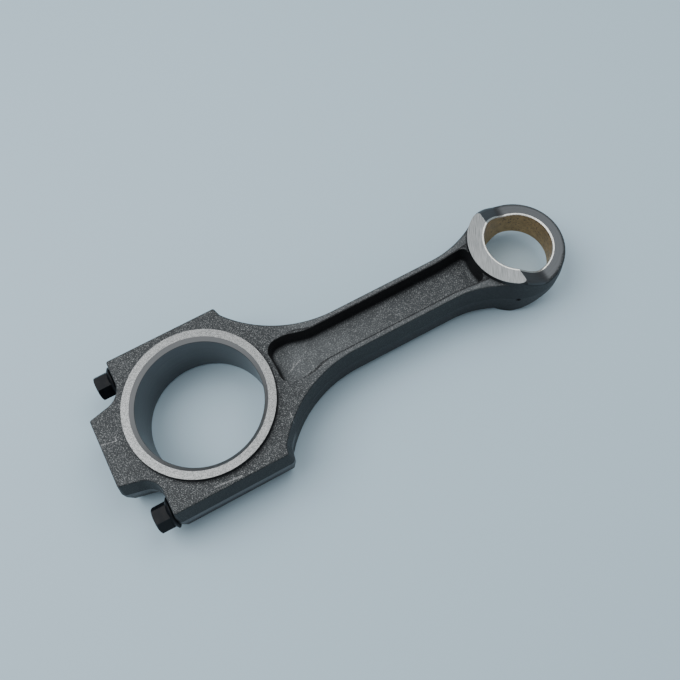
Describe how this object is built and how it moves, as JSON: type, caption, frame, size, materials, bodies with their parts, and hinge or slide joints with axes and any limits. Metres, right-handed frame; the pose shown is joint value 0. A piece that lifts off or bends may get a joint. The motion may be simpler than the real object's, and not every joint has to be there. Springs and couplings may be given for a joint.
{
  "type": "connecting rod",
  "caption": "Forged I-beam engine connecting rod with a bolted split big-end cap and a stepped, bushed small end.",
  "frame": {"origin": "centre of the crankpin bore, halfway through the big end", "axes": "+Z along both bores; +X from the crankpin bore to the wrist-pin bore; +Y across the bolts"},
  "size_m": [0.3018, 0.1068, 0.041],
  "materials": {
    "forged_steel": "shot-blasted forging with ground faces",
    "bush_bronze": "fine bored",
    "black_bolt": "black oxide"
  },
  "bodies": {
    "rod": {"rod": "forged_steel", "pin_bush": "bush_bronze"},
    "cap": {"cap": "forged_steel"},
    "bolt_left": {"cap_bolt_left": "black_bolt"},
    "bolt_right": {"cap_bolt_right": "black_bolt"}
  },
  "joints": [
    {"name": "cap_removal", "type": "slide", "parent": "rod", "child": "cap", "axis": [-1, 0, 0], "range_m": [0, 0.08]},
    {"name": "left_bolt_removal", "type": "slide", "parent": "cap", "child": "bolt_left", "axis": [-1, 0, 0], "range_m": [0, 0.075]},
    {"name": "right_bolt_removal", "type": "slide", "parent": "cap", "child": "bolt_right", "axis": [-1, 0, 0], "range_m": [0, 0.075]}
  ]
}
